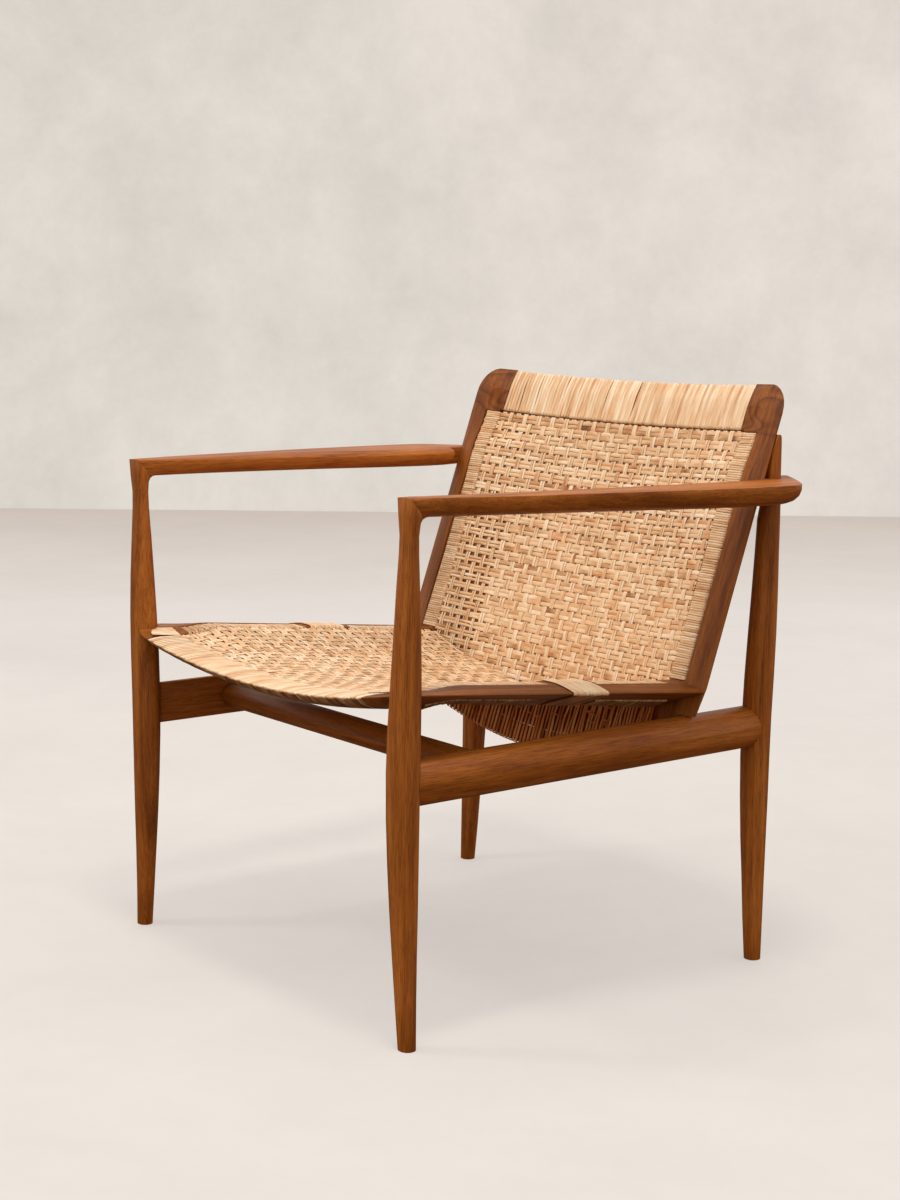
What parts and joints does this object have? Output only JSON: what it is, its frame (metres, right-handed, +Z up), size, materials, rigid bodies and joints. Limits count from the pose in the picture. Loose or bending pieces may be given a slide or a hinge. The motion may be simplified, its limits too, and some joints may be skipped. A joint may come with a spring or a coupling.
{
  "type": "lounge armchair",
  "caption": "Open-arm wooden lounge chair with tapered legs, wide paddle arms, and a curved seat and back of woven cane in slotted wooden frames.",
  "frame": {"origin": "on the floor, at the middle of the chair's width and depth (bottom centre of its bounding box)", "axes": "+Z up; the chair faces -Y and its back leans towards +Y; +X is on the right of somebody who stands in front of the chair and looks at it"},
  "size_m": [0.7302, 0.6029, 0.6985],
  "materials": {
    "oiled_wood": "oiled mid-brown hardwood with long dark grain, satin",
    "dowel_wood": "plain pale hardwood, unfinished, hidden in the joints",
    "cane": "natural woven and wrapped cane, pale tan with darker streaks, satin skin",
    "brass_screw": "plain brass screw"
  },
  "bodies": {
    "root": {"arm_mitre_dowel_left": "dowel_wood", "arm_mitre_dowel_right": "dowel_wood", "armrest_left": "oiled_wood", "armrest_right": "oiled_wood", "back_bottom_rail": "oiled_wood", "back_stile_left": "oiled_wood", "back_stile_right": "oiled_wood", "back_top_rail": "oiled_wood", "cane_back": "cane", "cane_back_band_left": "cane", "cane_back_band_right": "cane", "cane_back_strands": "cane", "cane_bottom_wrap": "cane", "cane_bridge_wrap_left": "cane", "cane_bridge_wrap_right": "cane", "cane_corner_left": "cane", "cane_corner_right": "cane", "cane_front_wrap": "cane", "cane_return_strands": "cane", "cane_seat": "cane", "cane_seat_band_front_left": "cane", "cane_seat_band_front_right": "cane", "cane_seat_band_rear_left": "cane", "cane_seat_band_rear_right": "cane", "cane_top_wrap": "cane", "cross_rail": "oiled_wood", "cross_rail_dowel_left": "dowel_wood", "cross_rail_dowel_right": "dowel_wood", "leg_back_left": "oiled_wood", "leg_back_right": "oiled_wood", "leg_front_left": "oiled_wood", "leg_front_right": "oiled_wood", "post_screw_left": "brass_screw", "post_screw_right": "brass_screw", "seat_front_rail": "oiled_wood", "seat_rail_dowel_left": "dowel_wood", "seat_rail_dowel_right": "dowel_wood", "seat_rear_rail": "oiled_wood", "seat_side_rail_left": "oiled_wood", "seat_side_rail_right": "oiled_wood", "stile_foot_screw_left": "brass_screw", "stile_foot_screw_right": "brass_screw", "stretcher_dowel_back_left": "dowel_wood", "stretcher_dowel_back_right": "dowel_wood", "stretcher_dowel_front_left": "dowel_wood", "stretcher_dowel_front_right": "dowel_wood", "stretcher_left": "oiled_wood", "stretcher_right": "oiled_wood"}
  },
  "joints": []
}
